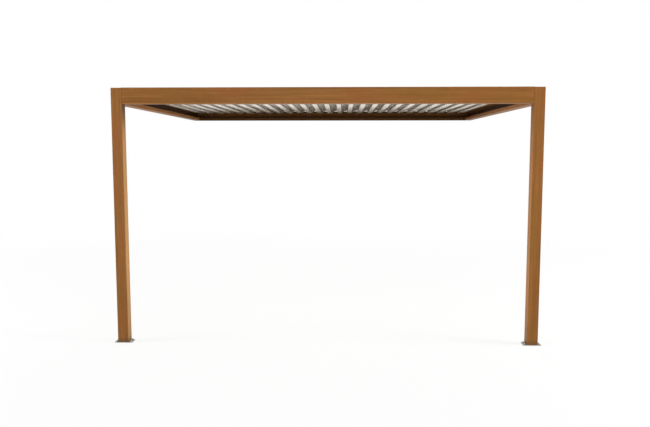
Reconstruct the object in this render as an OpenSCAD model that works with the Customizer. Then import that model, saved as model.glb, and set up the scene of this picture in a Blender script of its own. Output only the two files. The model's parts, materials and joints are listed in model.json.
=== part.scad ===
// Wall-mounted louvered pergola
//
// Two front posts and a wall carry a frame of four beams, and a gutter runs
// along the inside of each. Louvres run from the rear beam to the front beam.
// Each turns on the pins of its end caps, and one link bar joins their cranks,
// so that all of them turn together.
//
// Origin: middle of the rear beam's back face, which lies against the wall.
// +X is to the right, -Y is away from the wall and +Z is up. Millimetres.

/* [Overall size] */
// Width over the two side beams
width = 4000; // [3000:10:4600]
// Distance from the wall to the front face of the posts
projection = 3500; // [2400:10:4200]
// Height from the ground to the top of the beams
height = 2420; // [2100:10:2900]
// Radius of the outer edges of posts and beams
edge_r = 2; // [1:0.5:3]

/* [Posts] */
// Side of the square post
post_w = 100; // [100:1:120]
// Wall of the post tube
post_wall = 3; // [2:0.5:4]
// Thickness of the cap plate on a post
cap_t = 3; // [2:0.5:4]
// How far a post cap stays below the top of the beams
cap_drop = 2; // [0:0.5:6]

/* [Base plates] */
// How far the plate reaches past the post on each side
plate_ear = 35; // [25:1:60]
// Thickness of the plate
plate_t = 6; // [5:1:12]
// Radius of the plate's corners
plate_round = 5; // [2:1:12]
// Radius of an anchor bolt hole
anchor_r = 5.5; // [4:0.5:8]
// Distance from the plate's edge to the centre of a hole
anchor_edge = 18; // [14:1:24]
// Height of the tube that locates the post
spigot_h = 80; // [40:5:160]
// Wall of that tube
spigot_wall = 4; // [3:0.5:6]
// Gap between that tube and the inside of the post
spigot_gap = 0.5; // [0.3:0.1:1]
// Radius of the drain hole
drain_r = 20; // [10:1:30]

/* [Beams] */
// Height of a beam
beam_h = 150; // [140:1:200]
// Width of a beam
beam_w = 40; // [30:1:40]
// Wall of a beam
beam_wall = 3; // [2:0.5:4]
// Radius of a wall bolt hole
wall_bolt_r = 6; // [4:0.5:8]
// Distance from the end of the rear beam to its first wall bolt
wall_bolt_edge = 250; // [120:10:400]
// Number of wall bolts
wall_bolts = 6; // [2:1:6]

/* [Gutters] */
// Width of a gutter
gutter_w = 60; // [45:1:60]
// Wall of a gutter
gutter_wall = 2.5; // [2:0.5:3]
// Height of a gutter's inner lip
lip_h = 35; // [25:1:45]
// Width of the bead along the top of the lip
bead_w = 8; // [5:1:12]
// Height of the gutter's back, which is screwed to the beam
gutter_back_h = 30; // [20:1:34]

/* [Louvres] */
// Distance from one louvre to the next
louvre_pitch = 143; // [135:1:160]
// Thickness of the louvre's skin
skin = 1.8; // [1.4:0.1:2.4]
// Width of the hollow rib under the louvre
rib_w = 58; // [50:1:64]
// Depth of the rib below the pivot
rib_depth = 24; // [20:1:28]
// Radius of the rib's lower corners
rib_round = 6; // [3:0.5:9]
// Distance from the pivot to the nearer side of the rib
rib_offset = 6; // [6:0.5:12]
// Height of the rib's upper face below the pivot
rib_top = 2; // [0:0.5:4]
// Height of the wing's tip above the pivot, under the skin
wing_rise = 19; // [17:0.5:20]
// Gap between that tip and the rain lip of the next louvre
lip_gap = 7.5; // [7:0.5:10]
// How far a wing covers the next louvre's rib
wing_lap = 6; // [3:0.5:8]
// Depth of the drip nose on the wing's tip
drip_h = 2; // [1:0.5:3]
// Radius of the screw port along the pivot
port_r = 5; // [4:0.5:6]
// Radius of the hole in the screw port
port_hole_r = 2.6; // [2:0.1:3]
// Thickness of an end cap
end_cap_t = 3; // [2:0.5:5]
// Width of the drain slot in an end cap
drain_slot_w = 10; // [6:1:20]
// Height of that slot
drain_slot_h = 4; // [3:0.5:8]
// Distance of the pivots below the top of the beams
pivot_drop = 25; // [22:1:32]
// Angle that the louvres are turned to, 0 is closed
louvre_angle = 0; // [0:5:90]

/* [Pivots and link] */
// Thickness of a bearing rail
rail_t = 6; // [4:0.5:8]
// Height of a bearing rail
rail_h = 38; // [30:1:40]
// Distance from the end of a bearing rail to the post beside it
rail_end = 11; // [0:1:30]
// Radius of a pivot pin
pivot_r = 5; // [4:0.5:6]
// Radius of a crank pin
crank_pin_r = 4; // [3:0.5:5]
// Radial clearance of a pin in its hole
pin_clear = 0.05; // [0.02:0.01:0.1]
// Wall of a bushing
bush_wall = 2; // [1.5:0.5:3]
// Radius of a bushing's flange
bush_flange_r = 11; // [9:0.5:12]
// Thickness of a bushing's flange
bush_flange_t = 1.5; // [1:0.5:2]
// Radius of the hub at the rear end of a louvre
rear_hub_r = 14; // [10:1:16]
// Radius of the hub at the front end of a louvre
front_hub_r = 9; // [8:0.5:9]
// Gap between the rear end caps and the rear rail
rear_gap = 14; // [10:1:20]
// Gap between the front end caps and the front rail
front_gap = 24; // [22:1:30]
// Gap between a hub and the bushing in front of it
hub_play = 1.5; // [1:0.5:3]
// Gap between the end of a pivot pin and the beam behind it
pin_play = 0.5; // [0.3:0.1:2]
// Distance from the pivot to the crank pin
crank_len = 34; // [34:1:38]
// Radius of the lug around a crank pin
crank_lug_r = 8; // [6:0.5:9]
// Height of the link bar
link_h = 18; // [14:1:18]
// Thickness of the link bar
link_t = 5; // [4:0.5:6]
// How far a crank pin stands out past the link bar
crank_pin_end = 3; // [2:0.5:4]
// Gap between the link bar and the end caps
link_gap = 11; // [8:1:12]

/* [Closing profiles] */
// Thickness of a closing profile
closer_t = 2; // [1.5:0.5:3]
// Gap that a moving louvre keeps from a fixed profile
louvre_clear = 5; // [5:0.5:8]

/* [Hidden] */
$fn = 64;
cut = 1;

beam_top = beam_h / 2;
beam_bottom = -beam_h / 2;
ground = beam_top - height;

clear_w = width - 2 * beam_w;
wall_bolt_pitch = (width - 2 * wall_bolt_edge) / (wall_bolts - 1);

pivot_z = beam_top - pivot_drop;
rib_left = -rib_offset - rib_w;
wing_tip = rib_left + louvre_pitch + wing_lap;
rain_lip = wing_rise - lip_gap;
rib_reach = norm([rib_left, rib_depth]);
wing_reach = norm([wing_tip, wing_rise + skin]);
end_room = rib_reach + wing_reach + 2 * (closer_t + louvre_clear);
louvre_count = floor((clear_w - end_room) / louvre_pitch) + 1;
first_x = -(louvre_count - 1) * louvre_pitch / 2;
rail_half = max(width / 2 - post_w - rail_end, -first_x + bush_flange_r);

rear_cap_y = -beam_w - rail_t - rear_gap;
front_cap_y = -projection + beam_w + rail_t + front_gap;
crank_xz = crank_len * [-cos(45), -sin(45)];
link_y = front_cap_y - link_gap;

oak = [0.55, 0.35, 0.17];
pearl = [0.80, 0.78, 0.74];
zinc = [0.72, 0.73, 0.74];
alloy = [0.78, 0.79, 0.80];
nylon = [0.10, 0.10, 0.11];

function two_digits(i) = str(i < 10 ? "0" : "", i);
function louvre_name(i) = str("louvre_", two_digits(i));
function louvre_x(i) = first_x + (i - 1) * louvre_pitch;

// ---- Helpers

// Turns a section drawn in X and Z into a length that runs from y0 to y1
module run_y(y0, y1) {
    translate([0, y1, 0])
        rotate([90, 0, 0])
            linear_extrude(y1 - y0)
                children();
}

// Turns a section drawn in Y and Z into a length that runs from x0 to x1
module run_x(x0, x1) {
    translate([x0, 0, 0])
        rotate([90, 0, 90])
            linear_extrude(x1 - x0)
                children();
}

module mirrored() {
    mirror([1, 0, 0])
        children();
}

// A rectangle with one corner at the origin and all its corners rounded
module rounded(size, r) {
    translate([r, 0])
        square([size[0] - 2 * r, size[1]]);
    translate([0, r])
        square([size[0], size[1] - 2 * r]);
    for (x = [r, size[0] - r], y = [r, size[1] - r])
        translate([x, y])
            circle(r);
}

// ---- Posts

// The inner corner is cut away above the gutters, so that they drain into the tube
module post_tube() {
    foot = ground + plate_t;
    top = beam_top - cap_drop - cap_t;
    bore = post_w - 2 * post_wall;
    translate([-width / 2, -projection, 0])
        difference() {
            translate([0, 0, foot])
                linear_extrude(top - foot)
                    difference() {
                        rounded([post_w, post_w], edge_r);
                        translate([post_wall, post_wall])
                            square(bore);
                    }
            translate([beam_w, beam_w, beam_bottom + gutter_wall])
                cube([post_w, post_w, beam_h]);
        }
}

module post_cap() {
    translate([-width / 2, -projection, beam_top - cap_drop - cap_t])
        linear_extrude(cap_t)
            difference() {
                rounded([post_w, post_w], edge_r);
                translate([beam_w, beam_w])
                    square(post_w);
            }
}

module base_plate() {
    plate_w = post_w + 2 * plate_ear;
    spigot_w = post_w - 2 * post_wall - 2 * spigot_gap;
    translate([-width / 2 + post_w / 2, -projection + post_w / 2, ground])
        difference() {
            union() {
                translate([-plate_w / 2, -post_w / 2, 0])
                    linear_extrude(plate_t)
                        rounded([plate_w, post_w], plate_round);
                linear_extrude(plate_t + spigot_h)
                    difference() {
                        square(spigot_w, center = true);
                        square(spigot_w - 2 * spigot_wall, center = true);
                    }
            }
            for (sx = [-1, 1], sy = [-1, 1])
                translate([sx * (plate_w / 2 - anchor_edge), sy * (post_w / 2 - anchor_edge), -cut])
                    cylinder(r = anchor_r, h = plate_t + 2 * cut);
            translate([0, 0, -cut])
                cylinder(r = drain_r, h = plate_t + 2 * cut);
        }
}

// ---- Beams and gutters

// Both sections start at the outside of the frame. X is the way inwards.
module beam_section() {
    translate([0, beam_bottom])
        difference() {
            rounded([beam_w, beam_h], edge_r);
            translate([beam_wall, beam_wall])
                square([beam_w - 2 * beam_wall, beam_h - 2 * beam_wall]);
        }
}

module gutter_section() {
    translate([beam_w, beam_bottom]) {
        square([gutter_w, gutter_wall]);
        square([gutter_wall, gutter_back_h]);
        translate([gutter_w - gutter_wall, 0])
            square([gutter_wall, lip_h]);
        translate([gutter_w - bead_w, lip_h - gutter_wall])
            square([bead_w, gutter_wall]);
    }
}

// Everything on one side of the mitre that runs in from a rear corner
module mitre_side(towards_wall) {
    reach = 2 * (beam_w + gutter_w);
    translate([-width / 2, 0, beam_bottom - cut])
        rotate([0, 0, -45])
            translate([-reach / 2, towards_wall ? 0 : -reach, 0])
                cube([2 * reach, reach, beam_h + 2 * cut]);
}

// A length of section between the left post and the mitre behind it
module left_run() {
    difference() {
        translate([-width / 2, 0, 0])
            run_y(-projection + post_w, 0)
                children();
        mitre_side(true);
    }
}

module front_run() {
    translate([0, -projection, 0])
        run_x(-width / 2 + post_w, width / 2 - post_w)
            children();
}

module rear_run() {
    difference() {
        mirror([0, 1, 0])
            run_x(-width / 2, width / 2)
                children();
        mitre_side(false);
        mirrored()
            mitre_side(false);
    }
}

module rear_beam() {
    difference() {
        rear_run()
            beam_section();
        for (k = [0 : wall_bolts - 1])
            translate([-width / 2 + wall_bolt_edge + k * wall_bolt_pitch, cut, 0])
                rotate([90, 0, 0])
                    cylinder(r = wall_bolt_r, h = beam_w + 2 * cut);
    }
}

// ---- Louvres

module rib_outline(inset) {
    r = rib_round - inset;
    w = rib_w - 2 * inset;
    h = rib_depth - rib_top - 2 * inset;
    translate([rib_left + inset, -rib_depth + inset]) {
        translate([0, r])
            square([w, h - r]);
        translate([r, 0])
            square([w - 2 * r, h]);
        for (x = [r, w - r])
            translate([x, r])
                circle(r);
    }
}

module wing_outline() {
    root = -rib_top - skin;
    polygon([
        [-rib_offset - skin, root], [wing_tip, wing_rise], [wing_tip, wing_rise + skin],
        [-rib_offset - skin, root + skin]
    ]);
    translate([wing_tip - skin, wing_rise - drip_h])
        square([skin, drip_h + skin / 2]);
}

module rain_lip_outline() {
    translate([rib_left, -rib_top - skin])
        square([skin, rib_top + skin + rain_lip]);
}

// The extruded section: hollow rib, wing, rain lip and open screw port
module louvre_section() {
    difference() {
        union() {
            rib_outline(0);
            wing_outline();
            rain_lip_outline();
            circle(port_r);
        }
        rib_outline(skin);
        circle(port_hole_r);
        translate([-port_hole_r / 2, -port_r - cut])
            square([port_hole_r, port_r + cut]);
    }
}

// The end caps close the section, but for a drain slot in the rib
module end_cap_section(hub_r) {
    difference() {
        union() {
            rib_outline(0);
            wing_outline();
            rain_lip_outline();
            circle(hub_r);
        }
        translate([rib_left + rib_round, -rib_depth + skin])
            square([drain_slot_w, drain_slot_h]);
    }
}

module rear_end() {
    run_y(rear_cap_y - end_cap_t, rear_cap_y)
        end_cap_section(rear_hub_r);
    run_y(rear_cap_y - cut, rear_cap_y + rear_gap - bush_flange_t - hub_play)
        circle(rear_hub_r);
    run_y(rear_cap_y, rear_cap_y + rear_gap + rail_t - pin_play)
        circle(pivot_r);
}

module front_end() {
    run_y(front_cap_y, front_cap_y + end_cap_t) {
        end_cap_section(front_hub_r);
        translate(crank_xz)
            circle(crank_lug_r);
    }
    run_y(front_cap_y - front_gap + bush_flange_t + hub_play, front_cap_y + cut)
        circle(front_hub_r);
    run_y(front_cap_y - front_gap - rail_t + pin_play, front_cap_y)
        circle(pivot_r);
    run_y(link_y - link_t - crank_pin_end, front_cap_y + cut)
        translate(crank_xz)
            circle(crank_pin_r);
}

module louvre(i) {
    color(pearl)
        translate([louvre_x(i), 0, pivot_z])
            rotate([0, -louvre_angle, 0]) {
                run_y(front_cap_y + end_cap_t, rear_cap_y - end_cap_t)
                    louvre_section();
                rear_end();
                front_end();
            }
}

// ---- Pivots and link

module bearing_rail(y0) {
    difference() {
        translate([-rail_half, y0, pivot_z - rail_h / 2])
            cube([2 * rail_half, rail_t, rail_h]);
        for (i = [1 : louvre_count])
            translate([louvre_x(i), y0 - cut, pivot_z])
                rotate([-90, 0, 0])
                    cylinder(r = pivot_r + bush_wall + 2 * pin_clear, h = rail_t + 2 * cut);
    }
}

// Flanged sleeves in a rail. Their flanges lie on the face y, towards the louvres.
module bushings(y, towards) {
    for (i = [1 : louvre_count])
        translate([louvre_x(i), y, pivot_z])
            rotate([-90 * towards, 0, 0])
                difference() {
                    union() {
                        translate([0, 0, -rail_t])
                            cylinder(r = pivot_r + bush_wall + pin_clear, h = rail_t + cut);
                        cylinder(r = bush_flange_r, h = bush_flange_t);
                    }
                    translate([0, 0, -rail_t - cut])
                        cylinder(r = pivot_r + pin_clear, h = rail_t + bush_flange_t + 2 * cut);
                }
}

module link_bar() {
    shift = crank_len * [-cos(45 + louvre_angle), -sin(45 + louvre_angle)];
    color(alloy)
        translate([shift[0], 0, pivot_z + shift[1]])
            run_y(link_y - link_t, link_y)
                difference() {
                    union() {
                        square([-2 * first_x, link_h], center = true);
                        for (side = [-1, 1])
                            translate([side * -first_x, 0])
                                circle(link_h / 2);
                    }
                    for (i = [1 : louvre_count])
                        translate([louvre_x(i), 0])
                            circle(crank_pin_r + pin_clear);
                }
}

// ---- Closing profiles

// Stands on the left gutter and covers the first louvre's rib as a wing would
module left_closing_profile() {
    shelf_z = pivot_z + wing_rise;
    foot = beam_bottom + gutter_back_h;
    inner = first_x + rib_left + wing_lap;
    color(oak)
        run_y(-projection + beam_w + closer_t, -beam_w - closer_t) {
            translate([-clear_w / 2, foot])
                square([closer_t, shelf_z + closer_t - foot]);
            translate([-clear_w / 2, shelf_z])
                square([inner + clear_w / 2, closer_t]);
        }
}

// Stands on the right gutter and catches the last louvre's wing as a rib would
module right_closing_profile() {
    shelf_z = pivot_z - rib_top - closer_t;
    foot = beam_bottom + gutter_back_h;
    inner = -first_x + rib_left + louvre_pitch;
    color(oak)
        run_y(-projection + beam_w + closer_t, -beam_w - closer_t) {
            translate([clear_w / 2 - closer_t, foot])
                square([closer_t, shelf_z + closer_t - foot]);
            translate([inner, shelf_z])
                square([clear_w / 2 - inner, closer_t]);
            translate([inner, shelf_z])
                square([closer_t, rib_top + closer_t + rain_lip]);
        }
}

// ---- Assembly

color(oak) post_tube();  // left_post
color(oak) mirrored() post_tube();  // right_post
color(oak) post_cap();  // left_post_cap
color(oak) mirrored() post_cap();  // right_post_cap
color(zinc) base_plate();  // left_base_plate
color(zinc) mirrored() base_plate();  // right_base_plate
color(oak) front_run() beam_section();  // front_beam
color(oak) rear_beam();
color(oak) left_run() beam_section();  // left_beam
color(oak) mirrored() left_run() beam_section();  // right_beam
color(oak) front_run() gutter_section();  // front_gutter
color(oak) rear_run() gutter_section();  // rear_gutter
color(oak) left_run() gutter_section();  // left_gutter
color(oak) mirrored() left_run() gutter_section();  // right_gutter
left_closing_profile();
right_closing_profile();
color(alloy) bearing_rail(-projection + beam_w);  // front_bearing_rail
color(alloy) bearing_rail(-beam_w - rail_t);  // rear_bearing_rail
color(nylon) bushings(-projection + beam_w + rail_t, 1);  // front_bushings
color(nylon) bushings(-beam_w - rail_t, -1);  // rear_bushings
link_bar();
for (i = [1 : louvre_count])
    louvre(i);
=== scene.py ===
import json
import math

import bpy
from mathutils import Matrix, Vector


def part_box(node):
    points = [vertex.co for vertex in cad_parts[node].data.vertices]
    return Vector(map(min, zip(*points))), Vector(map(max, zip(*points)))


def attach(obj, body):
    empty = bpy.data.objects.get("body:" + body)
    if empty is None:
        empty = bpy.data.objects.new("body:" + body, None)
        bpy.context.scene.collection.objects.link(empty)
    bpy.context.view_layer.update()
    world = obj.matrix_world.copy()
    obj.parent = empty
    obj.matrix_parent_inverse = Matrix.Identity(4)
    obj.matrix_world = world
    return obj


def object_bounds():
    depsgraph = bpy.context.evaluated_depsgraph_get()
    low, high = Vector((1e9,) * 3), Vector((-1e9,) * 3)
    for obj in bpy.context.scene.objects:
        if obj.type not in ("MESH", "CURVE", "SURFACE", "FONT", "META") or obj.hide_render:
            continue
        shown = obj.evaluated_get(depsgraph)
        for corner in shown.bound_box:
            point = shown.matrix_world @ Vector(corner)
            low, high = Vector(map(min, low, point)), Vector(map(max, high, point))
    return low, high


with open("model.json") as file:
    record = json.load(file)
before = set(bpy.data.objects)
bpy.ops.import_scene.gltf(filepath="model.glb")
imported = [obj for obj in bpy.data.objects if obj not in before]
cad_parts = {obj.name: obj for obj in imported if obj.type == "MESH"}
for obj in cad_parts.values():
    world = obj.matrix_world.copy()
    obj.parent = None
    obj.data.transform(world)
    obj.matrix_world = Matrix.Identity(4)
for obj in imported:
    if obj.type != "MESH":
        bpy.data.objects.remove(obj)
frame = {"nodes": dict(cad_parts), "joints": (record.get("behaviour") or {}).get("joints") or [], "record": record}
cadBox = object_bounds()
scene = bpy.context.scene
nodes = frame["nodes"]
joints = {joint["name"]: joint for joint in frame["joints"]}
mounts = {mount["name"]: mount for mount in frame["record"]["mounts"]}
louvreNames = sorted(name for name in nodes if name.startswith("louvre_"))
mm = 0.001
tau = 2 * math.pi
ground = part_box("left_base_plate")[0].z
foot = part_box("left_post")[0].z    # also the top of the base plates
pivotHeight = joints["louvre_14_tilt"]["pos_m"][2]
print("frame loaded,", len(nodes), "nodes")

# camera, at eye height in front of the middle

eye = {
    "place": (0.1458, -9.5954, -0.5036),
    "yaw": -0.0258,    # radians, as the pitch is
    "pitch": -0.0962,
    "lens": 36.28,
}
lensData = bpy.data.cameras.new("camera")
lensData.lens = eye["lens"]
lensData.clip_start = 0.05
lensData.clip_end = 500
camera = bpy.data.objects.new("camera", lensData)
level = math.cos(eye["pitch"])
aim = Vector((math.sin(eye["yaw"]) * level, math.cos(eye["yaw"]) * level, math.sin(eye["pitch"])))
camera.location = eye["place"]
camera.rotation_euler = aim.to_track_quat("-Z", "Y").to_euler()
scene.collection.objects.link(camera)
scene.camera = camera
print("camera in place")


# shader nodes

class Wire:
    def __init__(self, board, socket):
        self.board = board
        self.socket = socket

    def __add__(self, other):
        return self.board.maths("ADD", self, other)

    def __radd__(self, other):
        return self.board.maths("ADD", other, self)

    def __sub__(self, other):
        return self.board.maths("SUBTRACT", self, other)

    def __rsub__(self, other):
        return self.board.maths("SUBTRACT", other, self)

    def __mul__(self, other):
        return self.board.maths("MULTIPLY", self, other)

    def __rmul__(self, other):
        return self.board.maths("MULTIPLY", other, self)

    def __pow__(self, other):
        return self.board.maths("POWER", self, other)

    def __rpow__(self, other):
        return self.board.maths("POWER", other, self)

    def __abs__(self):
        return self.board.maths("ABSOLUTE", self)


class Board:
    def __init__(self, tree):
        self.tree = tree
        tree.nodes.clear()

    def add(self, kind, settings=None, inputs=None, output=0):
        node = self.tree.nodes.new(kind)
        for name, value in (settings or {}).items():
            setattr(node, name, value)
        for name, value in (inputs or {}).items():
            if isinstance(value, Wire):
                self.tree.links.new(value.socket, node.inputs[name])
            else:
                node.inputs[name].default_value = value
        return Wire(self, node.outputs[output]) if node.outputs else node

    def maths(self, operation, *values):
        return self.add("ShaderNodeMath", {"operation": operation}, dict(enumerate(values)))

    def clamp(self, value):
        return self.add("ShaderNodeClamp", None, {"Value": value})

    def ramp(self, value, low, high):    # 0 at low, 1 at high, smooth between
        settings = {"interpolation_type": "SMOOTHSTEP"}
        return self.add("ShaderNodeMapRange", settings, {"Value": value, "From Min": low, "From Max": high})

    def mix(self, factor, first, second):
        first, second = (x if isinstance(x, Wire) else (*x, 1) for x in (first, second))
        return self.add("ShaderNodeMix", {"data_type": "RGBA"}, {0: factor, 6: first, 7: second}, 2)

    def vector(self, operation, first, second):
        return self.add("ShaderNodeVectorMath", {"operation": operation}, {0: first, 1: second})

    def parts(self, vector):
        split = self.add("ShaderNodeSeparateXYZ", None, {0: vector})
        return [Wire(self, socket) for socket in split.socket.node.outputs]

    def coords(self, kind):    # a CAD node's own coordinates are the frame's, in metres
        return self.add("ShaderNodeTexCoord", None, None, kind)

    def noise(self, place, scale, detail=3, roughness=0.5):    # scale is a number, or one for each axis
        scale = scale if isinstance(scale, tuple) else (scale, scale, scale)
        place = self.vector("MULTIPLY", place, scale)
        values = {"Vector": place, "Scale": 1, "Detail": detail, "Roughness": roughness}
        return self.add("ShaderNodeTexNoise", None, values)

    def bump(self, height, depth, strength):
        values = {"Height": height, "Distance": depth, "Strength": strength}
        return self.add("ShaderNodeBump", None, values)


def newFinish(name):
    material = bpy.data.materials.new(name)
    material.use_nodes = True
    return material, Board(material.node_tree)


def closeFinish(board, values):
    shader = board.add("ShaderNodeBsdfPrincipled", None, values)
    board.add("ShaderNodeOutputMaterial", None, {"Surface": shader})


def stretch(axis, across, along):    # a noise's scale, drawn out along one axis
    return tuple(along if k == axis else across for k in range(3))


# wood-effect coating: a printed film on aluminium, with the grain along each profile

woodLook = {
    "light": (0.304, 0.134, 0.035),
    "mid": (0.238, 0.098, 0.024),
    "dark": (0.150, 0.057, 0.014),
    "red": (0.272, 0.089, 0.026),
    "olive": (0.226, 0.108, 0.023),
    "rubbed": (0.42, 0.24, 0.10),
    "faded": (0.40, 0.24, 0.075),
    "grime": (0.10, 0.065, 0.036),
    "soot": (0.020, 0.013, 0.008),
    "nook": (0.040, 0.015, 0.003),
    "seam": (0.02, 0.01, 0.006),
    "roughness": 0.40,
    "sway": (7, 0.9),    # noise scales, across and along the grain
    "swayReach": 0.035,
    "broad": (16, 0.5),
    "bands": (70, 0.9),
    "lines": (260, 2.2),
    "pores": (900, 14),
    "hue": (5, 1.7),
    "relief": 0.12 * mm,
    "edgeWidth": (1.6 * mm, 0.4 * mm),    # where wear starts, and where it is full
    "splashHeight": (0.085, 0.025),
    "seamWidth": (1.4 * mm, 0.3 * mm),
}
woodAmounts = {    # how far each noise or mark takes the colour to its own
    "lines": 0.55,
    "broad": 0.35,
    "red": 0.50,
    "olive": 0.45,
    "pores": 0.35,
    "rubbed": 0.6,
    "grime": 0.70,
    "seam": 0.8,
}
sides = {"left": (0, -1), "right": (0, 1), "front": (1, -1), "under": (2, -1)}    # axis and sign


def cornerGap(board, spots, node, grain):    # distance to the nearest long edge of a profile
    low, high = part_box(node)
    gaps = []
    for axis in range(3):
        if axis != grain:
            gaps.append(board.maths("MINIMUM", abs(spots[axis] - low[axis]), abs(spots[axis] - high[axis])))
    return board.maths("MAXIMUM", *gaps)


def woodCoat(node, coat):
    material, board = newFinish(coat["name"])
    look = woodLook
    much = woodAmounts
    grain = coat["grain"]
    spots = board.coords("Object")
    x, y, z = board.parts(spots)
    facing = board.parts(board.coords("Normal"))

    def towards(side, low, high):    # 1 on the faces that look one way
        axis, sign = sides[side]
        return board.ramp(sign * facing[axis], low, high)

    place = board.vector("ADD", spots, coat["shift"])
    sway = (board.noise(place, stretch(grain, *look["sway"]), 2) - 0.5) * look["swayReach"]
    bent = board.vector("ADD", place, board.add("ShaderNodeCombineXYZ", None, {0: sway, 1: sway, 2: sway}))
    broad = board.noise(bent, stretch(grain, *look["broad"]), 2)
    bands = board.noise(bent, stretch(grain, *look["bands"]), 3, 0.6)
    lines = board.noise(bent, stretch(grain, *look["lines"]), 3, 0.6)
    pores = board.noise(bent, stretch(grain, *look["pores"]), 2)
    hue = board.noise(place, stretch(grain, *look["hue"]), 2)
    poreMask = board.ramp(pores, 0.56, 0.70)
    colour = board.mix(board.ramp(bands, 0.34, 0.68), look["mid"], look["light"])
    colour = board.mix(board.ramp(lines, 0.50, 0.72) * much["lines"], colour, look["dark"])
    colour = board.mix(board.ramp(broad, 0.52, 0.75) * much["broad"], colour, look["dark"])
    colour = board.mix(board.ramp(hue, 0.50, 0.66) * much["red"], colour, look["red"])
    colour = board.mix(board.ramp(hue, 0.48, 0.34) * much["olive"], colour, look["olive"])
    colour = board.mix(poreMask * much["pores"], colour, look["dark"])
    rough = look["roughness"] + 0.10 * bands + 0.08 * poreMask
    if "pale" in coat:    # painted light: the face named is lighter and yellower, as the lamps and sheen light it more
        side, amount = coat["pale"]
        colour = board.mix(towards(side, 0.2, 0.8) * (amount + 0.3 * bands), colour, look["faded"])
    if coat.get("worn"):    # rubbed along the edges
        gap = cornerGap(board, (x, y, z), node, grain)
        rub = board.ramp(gap, *look["edgeWidth"]) * board.ramp(board.noise(spots, 14), 0.46, 0.62)
        colour = board.mix(rub * much["rubbed"], colour, look["rubbed"])
    if coat.get("splashed"):    # darker at the foot, in a band with a wavy top
        footWobble = board.noise(spots, (30, 30, 60), 4)
        footDark = board.ramp(z - foot + 0.05 * footWobble, *look["splashHeight"])
        colour = board.mix(footDark * much["grime"], colour, look["grime"])
        rough = rough + footDark * 0.2
    if coat.get("seams"):    # dark joints at both ends, partly a painted shadow line in the gap
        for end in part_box(node):
            line = board.ramp(abs(x - end.x), *look["seamWidth"])
            colour = board.mix(line * much["seam"], colour, look["seam"])
    # painted shade: the faces named darken towards a near-black tone (dark brown on the closing profiles), where
    # the roof and profiles shade them
    for side, amount in coat.get("soot", {}).items():
        if "sootFade" in coat:    # thinner towards the top
            amount = amount * (1 - 0.55 * board.ramp(z, *coat["sootFade"]))
        soot = look[coat.get("sootTint", "soot")]
        colour = board.mix(towards(side, -0.1, 0.6) * (amount + 0.1 * bands), colour, soot)
    if "eaves" in coat:    # painted shade just under the beams, on the face named
        side, amount, low, high = coat["eaves"]
        underBeamShade = board.ramp(z, low, high) * (amount + 0.3 * bands)
        colour = board.mix(towards(side, 0.2, 0.8) * underBeamShade, colour, look["nook"])
    normal = board.bump(bands * 0.3 + lines * 0.4 - poreMask * 0.5, look["relief"], 0.7)
    values = {
        "Base Color": colour,
        "Roughness": rough,
        "Normal": normal,
        "Specular IOR Level": coat["sheen"],
    }
    closeFinish(board, values)
    return material


# louvres: off-white enamel, with painted shade in the recesses beside the ribs and on the undersides near the wall

louvreLook = {
    "clean": (0.86, 0.80, 0.71),
    "chalky": (0.74, 0.67, 0.57),
    "settled": (0.46, 0.43, 0.38),
    "recess": (0.055, 0.042, 0.030),
    "fluff": (0.30, 0.255, 0.205),
    "recessY": (-2.9, -0.7),    # where the painted shade in the recesses starts to deepen, and where it is full
    "wallY": (-0.50, -0.15),    # the same for the painted shade near the wall
    "recessDepth": (16 * mm, 6 * mm),    # below the pivot
    "roughness": 0.11,
    "grimeRoughness": 0.75,
    "ior": 1.6,
    "cloud": (2.5, 0.9),    # noise scales, across and along the louvre
    "dust": (90, 5),
    "drawn": (700, 2.5),
    "blotch": (26, 2.6),
    "peel": 900,
    "relief": 0.04 * mm,
}
louvreAmounts = {
    "cloud": 0.35,
    "dust": 0.35,
    "drawn": 0.25,
    "weather": 0.15,
    "settled": 0.45,
    "recess": (0.18, 0.80),    # at the front, and near the wall
}


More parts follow.
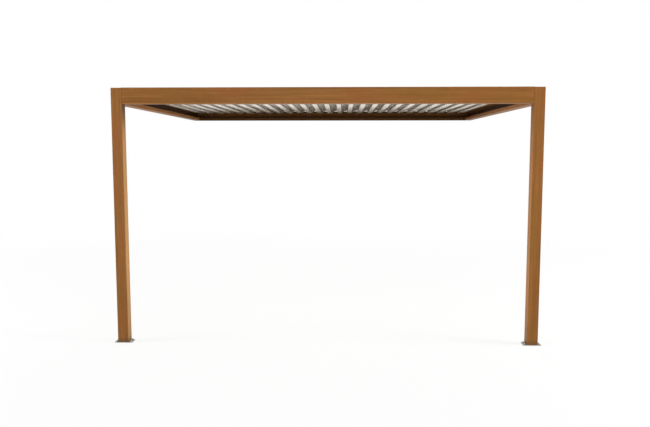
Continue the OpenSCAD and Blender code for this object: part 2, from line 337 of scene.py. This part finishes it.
def louvreCoat(name):
    material, board = newFinish(name)
    look = louvreLook
    much = louvreAmounts
    place = board.coords("Object")
    y, z = board.parts(place)[1:]
    upward = board.parts(board.coords("Normal"))[2]
    cloud = board.noise(place, stretch(1, *look["cloud"]), 4, 0.6)
    dust = board.noise(place, stretch(1, *look["dust"]), 4, 0.6)
    drawn = board.noise(place, stretch(1, *look["drawn"]), 2)
    blotch = board.noise(place, stretch(1, *look["blotch"]), 3, 0.6)
    peel = board.noise(place, look["peel"], 2)
    tone = board.mix(board.ramp(cloud, 0.35, 0.72) * much["cloud"], look["clean"], look["chalky"])
    tone = board.mix(board.ramp(dust, 0.50, 0.72) * much["dust"], tone, look["chalky"])
    tone = board.mix(board.ramp(drawn, 0.52, 0.74) * much["drawn"], tone, look["chalky"])
    weather = board.ramp(upward, 0.2, 0.9)
    settled = weather * board.ramp(dust, 0.38, 0.66)
    tone = board.mix(weather * much["weather"] + settled * much["settled"], tone, look["settled"])
    below = board.ramp(upward, 0.35, 0.0)
    # painted shade on the undersides near the wall
    wallShade = board.ramp(y, *look["wallY"]) * below
    tone = board.mix(wallShade * (0.40 + 0.30 * cloud), tone, look["recess"])
    rough = look["roughness"] + 0.10 * cloud + 0.40 * weather + 0.15 * settled
    normal = board.bump(peel * 0.5 + drawn * 0.5, look["relief"], 0.8)
    values = {"Base Color": tone, "Roughness": rough, "Normal": normal, "IOR": look["ior"]}
    enamel = board.add("ShaderNodeBsdfPrincipled", None, values)
    # painted shade in the recesses beside the ribs: a dark matt coat, deepest towards the wall
    grime = board.mix(board.ramp(dust * 0.4 + blotch * 0.6, 0.38, 0.62), look["recess"], look["fluff"])
    rough = look["grimeRoughness"] + 0.2 * cloud
    values = {"Base Color": grime, "Roughness": rough, "Normal": normal, "Specular IOR Level": 0.06}
    recessShadeCoat = board.add("ShaderNodeBsdfPrincipled", None, values)
    start, full = look["recessDepth"]
    recess = board.ramp(z, pivotHeight - start, pivotHeight - full) * below
    least, most = much["recess"]
    share = recess * (least + (most - least) * board.ramp(y, *look["recessY"]))
    both = board.add("ShaderNodeMixShader", None, {0: share, 1: enamel, 2: recessShadeCoat})
    board.add("ShaderNodeOutputMaterial", None, {"Surface": both})
    return material


# metals: drawn lines along the grain's axis, and a soft bloom

metalGrain = {
    "drawn": (1400, 5),    # noise scales, across and along the grain
    "drawnTint": 0.85,    # its lines against the metal's own colour
    "bloom": 22,
    "bloomTint": 0.74,
    "relief": 0.03 * mm,
}
millRailLook = {"grain": 0, "colour": (0.66, 0.63, 0.59), "roughness": 0.30}
# bearing rails: painted light and shade, a bright top edge above the pivots and dark below it
litAndShadedRailLook = {
    "grain": 0,
    "colour": (0.86, 0.82, 0.76),
    "roughness": 0.30,
    "grease": (0.075, 0.048, 0.032),
    "greaseTop": pivotHeight + 4 * mm,
}
brightSteelLook = {"grain": 2, "colour": (0.62, 0.62, 0.61), "roughness": 0.22}


def millMetal(name, look):
    material, board = newFinish(name)
    place = board.coords("Object")
    drawn = board.noise(place, stretch(look["grain"], *metalGrain["drawn"]), 3, 0.6)
    bloom = board.noise(place, metalGrain["bloom"], 4, 0.6)
    colour = look["colour"]
    dull, lined = ([metalGrain[tint] * c for c in colour] for tint in ("bloomTint", "drawnTint"))
    tone = board.mix(board.ramp(bloom, 0.40, 0.75) * 0.35, colour, dull)
    tone = board.mix(board.ramp(drawn, 0.45, 0.75) * 0.25, tone, lined)
    rough = look["roughness"] + 0.14 * drawn + 0.10 * bloom
    # painted shade: darker below the rail's top edge, which stays bright
    if "grease" in look:
        z, top = board.parts(place)[2], look["greaseTop"]
        shadeBelow = board.ramp(z + 3 * mm * bloom, top + 4 * mm, top - 2 * mm)
        tone = board.mix(shadeBelow, tone, look["grease"])
        rough = rough + 0.25 * shadeBelow
    normal = board.bump(drawn, metalGrain["relief"], 0.7)
    closeFinish(board, {"Base Color": tone, "Roughness": rough, "Normal": normal, "Metallic": 1.0})
    return material


zincLook = {
    "dark": (0.34, 0.33, 0.31),
    "bright": (0.50, 0.48, 0.45),
    "bloom": (0.25, 0.24, 0.22),
    "roughness": 0.34,
    "metallic": 0.85,
    "spangles": 110,    # in a metre
    "wander": (0.006, 0.006, 0.006),
    "relief": 0.08 * mm,
}


def galvanised(name):
    material, board = newFinish(name)
    look = zincLook
    place = board.coords("Object")
    wander = board.add("ShaderNodeTexNoise", None, {"Vector": place, "Scale": 60, "Detail": 2}, "Color")
    wavy = board.vector("ADD", place, board.vector("MULTIPLY", wander, look["wander"]))
    cell = board.add("ShaderNodeTexVoronoi", None, {"Vector": wavy, "Scale": look["spangles"]}, "Color")
    spangle = board.parts(cell)[0]
    bloom = board.noise(place, 25, 4, 0.6)
    tone = board.mix(spangle, look["dark"], look["bright"])
    tone = board.mix(board.ramp(bloom, 0.5, 0.75) * 0.5, tone, look["bloom"])
    rough = look["roughness"] + 0.18 * spangle + 0.16 * bloom
    normal = board.bump(spangle * 0.5 + bloom * 0.5, look["relief"], 0.6)
    values = {"Base Color": tone, "Roughness": rough, "Normal": normal, "Metallic": look["metallic"]}
    closeFinish(board, values)
    return material


# fine-grained finishes: moulded nylon, painted steel and sealant

blackNylonLook = {"colour": (0.020, 0.020, 0.022), "roughness": 0.42}
brownSteelLook = {"colour": (0.060, 0.032, 0.016), "roughness": 0.40}
greySealantLook = {"colour": (0.10, 0.095, 0.09), "roughness": 0.35}
fineGrainLook = {"grain": 1500, "bloom": 40, "relief": 0.04 * mm}


def fineGrain(name, look):
    material, board = newFinish(name)
    place = board.coords("Object")
    grain = board.noise(place, fineGrainLook["grain"], 2)
    bloom = board.noise(place, fineGrainLook["bloom"])
    colour = look["colour"]
    tone = board.mix(board.ramp(bloom, 0.4, 0.7) * 0.6, colour, [1.7 * c + 0.004 for c in colour])
    rough = look["roughness"] + 0.15 * bloom
    normal = board.bump(grain, fineGrainLook["relief"], 0.7)
    closeFinish(board, {"Base Color": tone, "Roughness": rough, "Normal": normal})
    return material


louvreWhite = louvreCoat("louvreWhite")
millRail = millMetal("millRail", millRailLook)
soiledRail = millMetal("soiledRail", litAndShadedRailLook)
zincPlate = galvanised("zincPlate")
blackNylon = fineGrain("blackNylon", blackNylonLook)
brightSteel = millMetal("brightSteel", brightSteelLook)
brownSteel = fineGrain("brownSteel", brownSteelLook)
greySealant = fineGrain("greySealant", greySealantLook)

# each coated piece: grain is the axis that it runs along, and shift moves the pattern, so that no two match
# painted light, painted shade and painted shade under the beams name faces by the way they look, with an amount
# the heights of the painted shade under the beams, and of the painted shade's fade, are where each starts and
# where it is full

coats = {
    # posts: painted light on the left post's inward face, and painted shade under the beams on both inward faces
    "left_post": {
        "name": "woodLeftPost",
        "grain": 2,
        "shift": (0.3, 0.1, 0.7),
        "sheen": 0.15,
        "worn": True,
        "splashed": True,
        "pale": ("right", 0.19),
        "eaves": ("right", 0.66, -0.42, -0.09),
    },
    "right_post": {
        "name": "woodRightPost",
        "grain": 2,
        "shift": (5.1, 2.6, 3.4),
        "sheen": 0.12,
        "worn": True,
        "splashed": True,
        "eaves": ("left", 0.16, -0.75, -0.09),
    },
    "left_post_cap": {
        "name": "woodCaps",
        "grain": 1,
        "shift": (8.2, 1.3, 0.9),
        "sheen": 0.2,
    },
    "front_beam": {
        "name": "woodFrontBeam",
        "grain": 0,
        "shift": (2.9, 7.7, 1.6),
        "sheen": 0.10,
        "worn": True,
        "seams": True,
    },
    # from here on, each piece's darkened faces are painted shade, where the roof and profiles shade them: heavy at
    # the rear and on the closing profiles, light under the side beams and side gutters
    "rear_beam": {
        "name": "woodRearBeam",
        "grain": 0,
        "shift": (1.4, 4.8, 9.2),
        "sheen": 0.03,
        "worn": True,
        "soot": {"front": 0.56, "under": 0.5},
    },
    "left_beam": {
        "name": "woodLeftBeam",
        "grain": 1,
        "shift": (6.4, 0.8, 2.2),
        "sheen": 0.10,
        "worn": True,
        "soot": {"under": 0.10},
    },
    "right_beam": {
        "name": "woodRightBeam",
        "grain": 1,
        "shift": (3.7, 9.1, 5.5),
        "sheen": 0.10,
        "worn": True,
        "soot": {"under": 0.10},
    },
    "front_gutter": {
        "name": "woodFrontGutter",
        "grain": 0,
        "shift": (4.9, 3.7, 6.6),
        "sheen": 0.05,
        "soot": {"under": 0.50},
    },
    "rear_gutter": {
        "name": "woodRearGutter",
        "grain": 0,
        "shift": (0.4, 6.8, 3.2),
        "sheen": 0.03,
        "soot": {"front": 0.74, "under": 0.9},
    },
    "left_gutter": {
        "name": "woodLeftGutter",
        "grain": 1,
        "shift": (2.4, 5.8, 7.2),
        "sheen": 0.06,
        "soot": {"under": 0.10},
    },
    "right_gutter": {
        "name": "woodRightGutter",
        "grain": 1,
        "shift": (9.7, 2.1, 0.5),
        "sheen": 0.06,
        "soot": {"under": 0.10},
    },
    # closing profiles: near-black brown painted shade on the inward face, thinner towards the top
    "left_closing_profile": {
        "name": "woodLeftCloser",
        "grain": 1,
        "shift": (4.1, 7.3, 1.9),
        "sheen": 0.03,
        "soot": {"right": 0.93},
        "sootFade": (0.0, 0.06),
        "sootTint": "nook",
    },
    "right_closing_profile": {
        "name": "woodRightCloser",
        "grain": 1,
        "shift": (7.9, 3.3, 6.1),
        "sheen": 0.03,
        "soot": {"left": 0.93},
        "sootFade": (0.0, 0.06),
        "sootTint": "nook",
    },
}
finishes = {node: woodCoat(node, coat) for node, coat in coats.items()}
finishes |= {name: louvreWhite for name in louvreNames}
finishes |= {
    "right_post_cap": finishes["left_post_cap"],
    "front_bearing_rail": soiledRail,
    "rear_bearing_rail": soiledRail,
    "front_bushings": blackNylon,
    "rear_bushings": blackNylon,
    "link_bar": millRail,
    "left_base_plate": zincPlate,
    "right_base_plate": zincPlate,
}
for name, node in nodes.items():
    for slot in node.material_slots:
        slot.material = finishes[name]
print("finishes assigned")


# fixings: each is a skin of rings about +Z, in millimetres, turned to where it sits

turns = {
    "up": Matrix(),
    "front": Matrix.Rotation(tau / 4, 4, "X"),
    "rear": Matrix.Rotation(-tau / 4, 4, "X"),
    "right": Matrix.Rotation(tau / 4, 4, "Y"),
    "left": Matrix.Rotation(-tau / 4, 4, "Y"),
}
lift = 0.1    # a washer's underside keeps this far off the face below it
coneShare = 0.475    # radius of a hexagon's chamfer cone, as a share of its width over the flats
fine = 48    # points in the rings of nuts and bolt heads


def ring(radius, height, count=24):    # radius and height are numbers, or functions of the angle
    spots = []
    for k in range(count):
        turn = tau * k / count
        r = radius(turn) if callable(radius) else radius
        spots.append((r * math.cos(turn), r * math.sin(turn), height(turn) if callable(height) else height))
    return spots


def washerRings(radius, thick, bevel, count):
    places = ((radius, lift), (radius, thick - bevel), (radius - bevel, thick))
    return [ring(across, height, count) for across, height in places]


def hexSide(flats):
    return lambda turn: flats / 2 / math.cos(turn % (tau / 6) - tau / 12)


def hexEnd(flats, height, slope):    # where the chamfer's cone cuts the six sides, and its rim
    side = hexSide(flats)
    cone = coneShare * flats
    edge = ring(side, lambda turn: height + slope * (side(turn) - cone), fine)
    return [edge, ring(cone, height, fine)]


def starSide(radius):
    return lambda turn: radius * (1 + 0.14 * math.cos(6 * turn))


def threadSide(look, height, taper):    # the crest goes once round the rod in each pitch
    depth = taper * (look["rod"] - look["core"])
    return lambda turn: look["core"] + depth * abs(2 * ((height / look["pitch"] - turn / tau) % 1) - 1)


class Skin:
    def __init__(self):
        self.points = []
        self.faces = []

    def add(self, rings, spot=(0, 0, 0), facing="up"):
        place = Matrix.Translation(spot) @ turns[facing] @ Matrix.Scale(mm, 4)
        start, count = len(self.points), len(rings[0])
        for spots in rings:
            self.points += [place @ Vector(p) for p in spots]
        for k in range(len(rings) - 1):
            for i in range(count):
                a, b = start + k * count + i, start + k * count + (i + 1) % count
                self.faces.append((a, b, b + count, a + count))
        last = start + (len(rings) - 1) * count
        self.faces.append(tuple(reversed(range(start, start + count))))
        self.faces.append(tuple(range(last, last + count)))

    def piece(self, name, finish, body):
        mesh = bpy.data.meshes.new(name)
        mesh.from_pydata(self.points, [], self.faces)
        mesh.shade_smooth()
        mesh.set_sharp_from_angle(angle=math.radians(32))
        mesh.materials.append(finish)
        item = bpy.data.objects.new(name, mesh)
        scene.collection.objects.link(item)
        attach(item, body)


panHead = {"radius": 4.4, "rim": 0.7, "high": 2.3, "star": 2.0, "deep": 1.4}
smallHead = {"radius": 3.4, "rim": 0.6, "high": 1.8, "star": 1.6, "deep": 1.1}
lowHead = {"radius": 4.6, "rim": 0.3, "high": 1.6, "star": 2.0, "deep": 1.0}


def screwHead(skin, head, spot, facing):
    sunk = -0.2
    crown = head["high"] - head["rim"]
    rings = [ring(head["radius"], sunk), ring(head["radius"], head["rim"])]
    for lean in (math.radians(20), math.radians(40), math.radians(60)):
        rings.append(ring(head["radius"] * math.cos(lean), head["rim"] + crown * math.sin(lean)))
    rings.append(ring(starSide(head["star"]), head["high"]))
    rings.append(ring(starSide(head["star"] * 0.92), head["high"] - head["deep"]))
    skin.add(rings, spot, facing)


anchorBolt = {
    "washer": 10.0,    # a radius, as rod and core are
    "washerThick": 1.8,
    "bevel": 0.3,
    "flats": 17.0,
    "nut": 8.0,
    "sink": 0.9,    # the countersink at the nut's thread, its width and its depth
    "sinkDeep": 0.8,
    "rod": 4.95,
    "core": 4.3,
    "pitch": 1.5,
    "inside": 1.0,    # how far below the nut's top the rod is modelled from
    "thread": 7.0,    # its length from there
    "tip": 0.8,    # the chamfer at its end, its width and its height
    "tipHigh": 0.5,
}


def anchorFixings(side):
    skin = Skin()
    look = anchorBolt
    pattern = mounts[side + "_anchor_bolts"]
    middle = pattern["pos_m"]
    low, high = look["washerThick"], look["washerThick"] + look["nut"]
    nut = [*reversed(hexEnd(look["flats"], low, 0.5)), *hexEnd(look["flats"], high, -0.5)]
    nut += [ring(look["rod"] + look["sink"], high, fine), ring(look["rod"], high - look["sinkDeep"], fine)]
    rod = []
    steps = int(look["thread"] / look["pitch"] * 4)    # four rings in each pitch
    for k in range(steps + 1):
        height = high - look["inside"] + k * look["pitch"] / 4
        taper = 1 - 0.5 * max(0, k - steps + 2) / 2
        rod.append(ring(threadSide(look, height, taper), height))
    rod.append(ring(look["core"] - look["tip"], height + look["tipHigh"]))
    for across in (-0.5, 0.5):
        for along in (-0.5, 0.5):
            x = middle[0] + across * pattern["dims"]["spacing_x_mm"] * mm
            y = middle[1] + along * pattern["dims"]["spacing_y_mm"] * mm
            skin.add(washerRings(look["washer"], look["washerThick"], look["bevel"], 24), (x, y, foot))
            skin.add(nut, (x, y, foot))
            skin.add(rod, (x, y, foot))
    skin.piece(side + "_anchor_nuts", zincPlate, "frame")


wallBolt = {
    "washer": 14.0,    # a radius, as flange is
    "washerThick": 2.2,
    "bevel": 0.4,
    "flange": 11.0,
    "flangeThick": 1.0,
    "neck": 2.4,    # where the flange's slope ends
    "flats": 16.0,
    "flatsFrom": 2.9,
    "head": 9.0,
    "dish": 0.5,
}


def wallFixings():
    skin = Skin()
    look = wallBolt
    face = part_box("rear_beam")[0].y
    thick = look["washerThick"]
    top = thick + look["head"]
    cone = coneShare * look["flats"]
    head = [ring(look["flange"], thick, fine), ring(look["flange"], thick + look["flangeThick"], fine)]
    head += [ring(cone * 1.12, thick + look["neck"], fine)]
    head += [ring(hexSide(look["flats"]), thick + look["flatsFrom"], fine)]
    head += hexEnd(look["flats"], top, -0.5)
    head += [ring(cone * 0.8, top - look["dish"], fine)]
    for part in ("left", "middle", "right"):
        pattern = mounts["wall_bolts_" + part]
        for across in (-0.5, 0.5):
            x = pattern["pos_m"][0] + across * pattern["dims"]["spacing_x_mm"] * mm
            spot = (x, face, pattern["pos_m"][2])
            skin.add(washerRings(look["washer"], thick, look["bevel"], 36), spot, "front")
            skin.add(head, spot, "front")
    skin.piece("wall_bolt_heads", brownSteel, "frame")


for side in ("left", "right"):
    anchorFixings(side)
wallFixings()
print("bolts in place")


def railScrews(name, face, facing):    # between every second pair of louvres
    skin = Skin()
    pivots = [joints[louvre + "_tilt"]["pos_m"] for louvre in louvreNames]
    for k in range(0, len(pivots) - 1, 2):
        x = (pivots[k][0] + pivots[k + 1][0]) / 2
        screwHead(skin, panHead, (x, face, pivots[k][2]), facing)
    skin.piece(name, brightSteel, "frame")


railScrews("front_rail_screws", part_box("front_bearing_rail")[1].y, "rear")
railScrews("rear_rail_screws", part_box("rear_bearing_rail")[0].y, "front")

gutterScrew = {
    "pitch": 0.42,
    "inset": 0.06,
    "height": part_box("front_gutter")[0].z + 16 * mm,
    "wall": 2.5 * mm,
    "slot": "gutter",
}
closerScrew = {
    "pitch": 0.55,
    "inset": 0.09,
    "height": 0.0,
    "wall": 2 * mm,
    "slot": "closing_profile",
}
inward = {    # for a profile's side: the axis across it, the sign of the way in, and that way's name
    "front": (1, 1, "rear"),
    "rear": (1, -1, "front"),
    "left": (0, 1, "right"),
    "right": (0, -1, "left"),
}


def spread(low, high, pitch, inset):    # even places along a length, near the given pitch
    count = max(2, round((high - low - 2 * inset) / pitch) + 1)
    return [low + inset + k * (high - low - 2 * inset) / (count - 1) for k in range(count)]


def rowOfScrews(name, side, node, look):    # on the inside of a profile's outer wall
    skin = Skin()
    axis, sign, facing = inward[side]
    low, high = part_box(node)
    face = low[axis] + look["wall"] if sign > 0 else high[axis] - look["wall"]
    for along in spread(low[1 - axis], high[1 - axis], look["pitch"], look["inset"]):
        spot = (along, face, look["height"]) if axis == 1 else (face, along, look["height"])
        screwHead(skin, panHead, spot, facing)
    skin.piece(name, brownSteel, "frame")


for side in ("front", "rear", "left", "right"):
    rowOfScrews(side + "_gutter_screws", side, side + "_gutter", gutterScrew)
for side in ("left", "right"):
    rowOfScrews(side + "_closer_screws", side, side + "_closing_profile", closerScrew)

capScrew = {"in": 20 * mm, "far": 15 * mm}    # from the outer and front edges, and from the other two

for side, sign in (("left", 1), ("right", -1)):
    low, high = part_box(side + "_post_cap")
    outer, inner = (low.x, high.x) if sign > 0 else (high.x, low.x)
    near = outer + sign * capScrew["in"]
    beyond = inner - sign * capScrew["far"]
    front = low.y + capScrew["in"]
    skin = Skin()
    for x, y in ((near, front), (near, high.y - capScrew["far"]), (beyond, front)):
        screwHead(skin, lowHead, (x, y, high.z), "up")
    skin.piece(side + "_post_cap_screws", brownSteel, "frame")

footScrew = {"up": 45 * mm, "aside": 26 * mm}

for side in ("left", "right"):
    low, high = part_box(side + "_post")
    skin = Skin()
    for sign in (-1, 1):
        x = (low.x + high.x) / 2 + sign * footScrew["aside"]
        screwHead(skin, panHead, (x, high.y, foot + footScrew["up"]), "rear")
    skin.piece(side + "_foot_screws", brownSteel, "frame")
print("screws in place")

blade = {
    "screws": [(-52 * mm, -9 * mm), (-19 * mm, -9 * mm)],    # from the pivot, in each end cap
    "rearCapGap": 14 * mm,    # from the bearing rails to the caps' outer faces
    "frontCapGap": 24 * mm,
    "crank": 34 * mm,
}
clip = {    # in millimetres, with the opening in degrees
    "inner": 3.7,
    "outer": 6.6,
    "thick": 0.8,
    "gap": 0.3,
    "open": 70,
    "relief": 0.9,
    "steps": 24,
    "lobes": 3,
}
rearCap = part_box("rear_bearing_rail")[0].y - blade["rearCapGap"]
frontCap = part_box("front_bearing_rail")[1].y + blade["frontCapGap"]
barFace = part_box("link_bar")[0].y


def clipRings():    # a sprung clip on the crank pin, cut back between the lobes that grip
    rings = []
    half = math.radians(clip["open"] / 2)
    lobe = clip["steps"] // clip["lobes"]
    low, high = clip["gap"], clip["gap"] + clip["thick"]
    for k in range(clip["steps"] + 1):
        turn = half + (tau - 2 * half) * k / clip["steps"]
        inner = clip["inner"] + (clip["relief"] if 2 < k % lobe < 6 else 0)
        profile = [(inner, low), (clip["outer"], low), (clip["outer"], high), (inner, high)]
        rings.append([(r * math.cos(turn), r * math.sin(turn), z) for r, z in profile])
    return rings


def bladeFittings(louvre):
    skin = Skin()
    pivot = Vector(joints[louvre + "_tilt"]["pos_m"])
    for dx, dz in blade["screws"]:
        screwHead(skin, smallHead, (pivot.x + dx, rearCap, pivot.z + dz), "rear")
        screwHead(skin, smallHead, (pivot.x + dx, frontCap, pivot.z + dz), "front")
    reach = blade["crank"] / math.sqrt(2)
    skin.add(clipRings(), (pivot.x - reach, barFace, pivot.z - reach), "front")
    skin.piece(louvre + "_fittings", brightSteel, louvre)


for louvre in louvreNames:
    bladeFittings(louvre)
print("blade fittings in place")

bead = {
    "radius": 2.2 * mm,
    "count": 10,
    "step": 8 * mm,
    "rise": 28 * mm,    # how far it goes up the gutter's outer wall
    "short": 4 * mm,    # how far it stops below the lip
}


def fillPath(corners):
    path = [Vector(corners[0])]
    for a, b in zip(corners, corners[1:]):
        a, b = Vector(a), Vector(b)
        count = max(1, round((b - a).length / bead["step"]))
        path += [a.lerp(b, (k + 1) / count) for k in range(count)]
    return path


def sealantBead(name, outer, inner, low, high):    # down the outer wall, over the floor and up the lip
    skin = Skin()
    base = low.z + gutterScrew["wall"]
    corners = [(*outer, low.z + bead["rise"]), (*outer, base)]
    corners += [(*inner, base), (*inner, high.z - bead["short"])]
    points = fillPath(corners)
    rings = []
    for k, point in enumerate(points):
        ahead = points[min(k + 1, len(points) - 1)] - points[max(k - 1, 0)]
        turn = ahead.to_track_quat("Z", "Y").to_matrix()
        rings.append([(point + turn @ Vector(p) * bead["radius"]) / mm for p in ring(1, 0, bead["count"])])
    skin.add(rings)
    skin.piece(name, greySealant, "frame")


wall = gutterScrew["wall"]
frontLow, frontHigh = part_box("front_gutter")
rearLow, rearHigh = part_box("rear_gutter")
for side in ("left", "right"):
    low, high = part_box(side + "_gutter")
    outer, inner = (low.x + wall, high.x - wall) if side == "left" else (high.x - wall, low.x + wall)
    corner, mitre = (outer, rearHigh.y - wall), (inner, rearLow.y + wall)
    sealantBead(side + "_rear_gutter_sealant", corner, mitre, low, high)
    sealantBead(side + "_gutter_end_sealant", (outer, low.y), (inner, low.y), low, high)
    end = frontLow.x if side == "left" else frontHigh.x
    back, lip = (end, frontLow.y + wall), (end, frontHigh.y - wall)
    sealantBead(side + "_front_gutter_end_sealant", back, lip, low, high)
print("sealant in place")


# floor, light and background

stage = {
    "floorRadius": 60,
    "paving": (0.80, 0.70, 0.57),    # what the object gets back from the floor, in front and under the roof
    "shade": (0.05, 0.036, 0.026),
    "shadeY": (-3.6, -0.6),
    "seen": (0.9, 0.9, 0.9),    # what the camera sees of the floor
    "nearWhite": 0.86,
    "middleY": -1.75,
    "fade": (3.0, 9.0),
}
sky = {"low": 0.05, "rise": 0.30, "between": (0.05, 0.60)}


def seenDirectly(board):    # 1 for what the camera sees, by itself or in metal, and 0 for the light cast
    rays = ("Is Camera Ray", "Is Glossy Ray", "Is Transmission Ray")
    straight, mirrored, through = (board.add("ShaderNodeLightPath", None, None, ray) for ray in rays)
    return board.clamp(straight + mirrored + through)


r = stage["floorRadius"]
corners = [(-r, -r, ground), (r, -r, ground), (r, r, ground), (-r, r, ground)]
floorMesh = bpy.data.meshes.new("floor")
floorMesh.from_pydata(corners, [], [(0, 1, 2, 3)])
floor = bpy.data.objects.new("floor", floorMesh)
scene.collection.objects.link(floor)
floorFinish, board = newFinish("paleFloor")
seen = seenDirectly(board)
x, y = board.parts(board.coords("Object"))[:2]
depth = y - stage["middleY"]
away = board.ramp((x * x + depth * depth) ** 0.5, *stage["fade"])
lit = seen * (stage["nearWhite"] + (1 - stage["nearWhite"]) * away)
bounce = board.mix(board.ramp(y, *stage["shadeY"]), stage["paving"], stage["shade"])
matt = board.add("ShaderNodeBsdfDiffuse", None, {"Color": board.mix(seen, bounce, stage["seen"])})
glow = board.add("ShaderNodeEmission", None, {"Color": (1, 1, 1, 1), "Strength": 1.0})
both = board.add("ShaderNodeMixShader", None, {0: lit, 1: matt, 2: glow})
board.add("ShaderNodeOutputMaterial", None, {"Surface": both})
floorMesh.materials.append(floorFinish)

world = bpy.data.worlds.new("studio")
scene.world = world
world.use_nodes = True
board = Board(world.node_tree)
seen = seenDirectly(board)
z = board.parts(board.coords("Generated"))[2]
cast = sky["low"] + sky["rise"] * board.ramp(z, *sky["between"])
backdrop = {"Color": (1, 1, 1, 1), "Strength": seen + (1 - seen) * cast}
board.add("ShaderNodeOutputWorld", None, {"Surface": board.add("ShaderNodeBackground", None, backdrop)})

lamps = [
    {"name": "keyRight", "from": (10.5, -5.2, 1.4), "size": 4, "watts": 1230},
    {"name": "keyLeft", "from": (-10.5, -5.2, 1.4), "size": 4, "watts": 800},
    {"name": "back", "from": (0.5, 8.5, 4.6), "size": 5, "watts": 450},
    {"name": "front", "from": (-0.8, -12.0, 0.5), "size": 5, "watts": 205},
    {
        "name": "low",
        "from": (0.0, -2.9, -2.25),
        "to": (0.0, -2.8, 0.0),
        "size": 3,
        "watts": 54,
        "hidden": True,
    },
]
middle = (cadBox[0] + cadBox[1]) / 2
for lamp in lamps:
    data = bpy.data.lights.new(lamp["name"], "AREA")
    data.shape = "DISK"
    data.size = lamp["size"]
    data.energy = lamp["watts"]
    light = bpy.data.objects.new(lamp["name"], data)
    light.location = lamp["from"]
    target = Vector(lamp.get("to", middle))
    light.rotation_euler = (target - light.location).to_track_quat("-Z", "Y").to_euler()
    if lamp.get("hidden"):
        light.visible_camera = False
        light.visible_glossy = False
    scene.collection.objects.link(light)
scene.view_settings.view_transform = "Standard"
print("stage and light ready")
